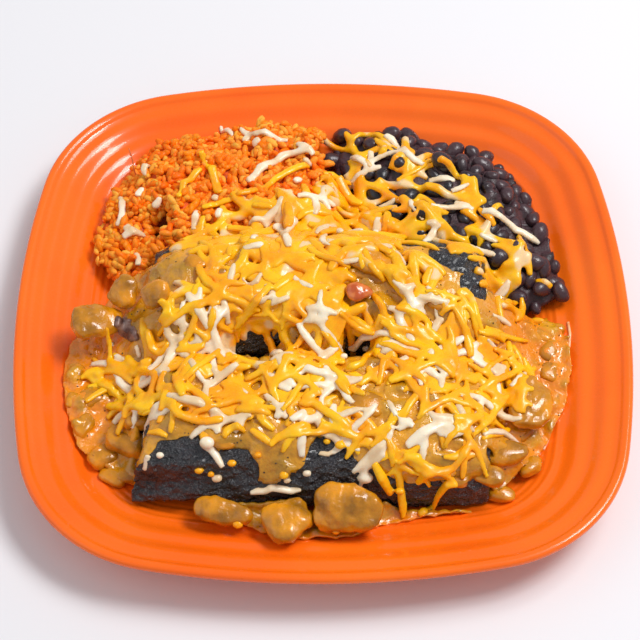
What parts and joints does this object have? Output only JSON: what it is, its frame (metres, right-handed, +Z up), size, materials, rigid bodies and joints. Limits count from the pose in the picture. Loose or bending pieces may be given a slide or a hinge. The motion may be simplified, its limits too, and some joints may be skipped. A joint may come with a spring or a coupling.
{
  "type": "plated enchiladas with rice and beans",
  "caption": "Rolled blue corn enchiladas under green chile sauce and melted shredded cheese, with red rice and black beans, on a rounded square glazed plate.",
  "frame": {"origin": "under the middle of the plate, in the plane of its foot", "axes": "+Z up, +Y towards the rice and beans at the back, +X to the right as the diner sees it"},
  "size_m": [0.273, 0.273, 0.0548],
  "materials": {
    "glaze": "gloss",
    "tortilla": "moist blue corn tortilla, satin",
    "sauce": "wet, gloss",
    "rice": "moist cooked grains, satin",
    "beans": "wet, gloss",
    "cheese": "melted, satin",
    "chile": "wet, gloss",
    "tomato": "wet, gloss"
  },
  "bodies": {
    "root": {"plate": "glaze", "enchilada_front": "tortilla", "enchilada_back": "tortilla", "chile_sauce": "sauce", "rice": "rice", "black_beans": "beans", "melted_cheese": "cheese", "chile_front_middle": "chile", "chile_front": "chile", "chile_front_left": "chile", "chile_left": "chile", "chile_left_back": "chile", "chile_on_roll_end": "chile", "chile_right": "chile", "chile_on_top": "chile", "tomato_piece": "tomato"}
  },
  "joints": []
}
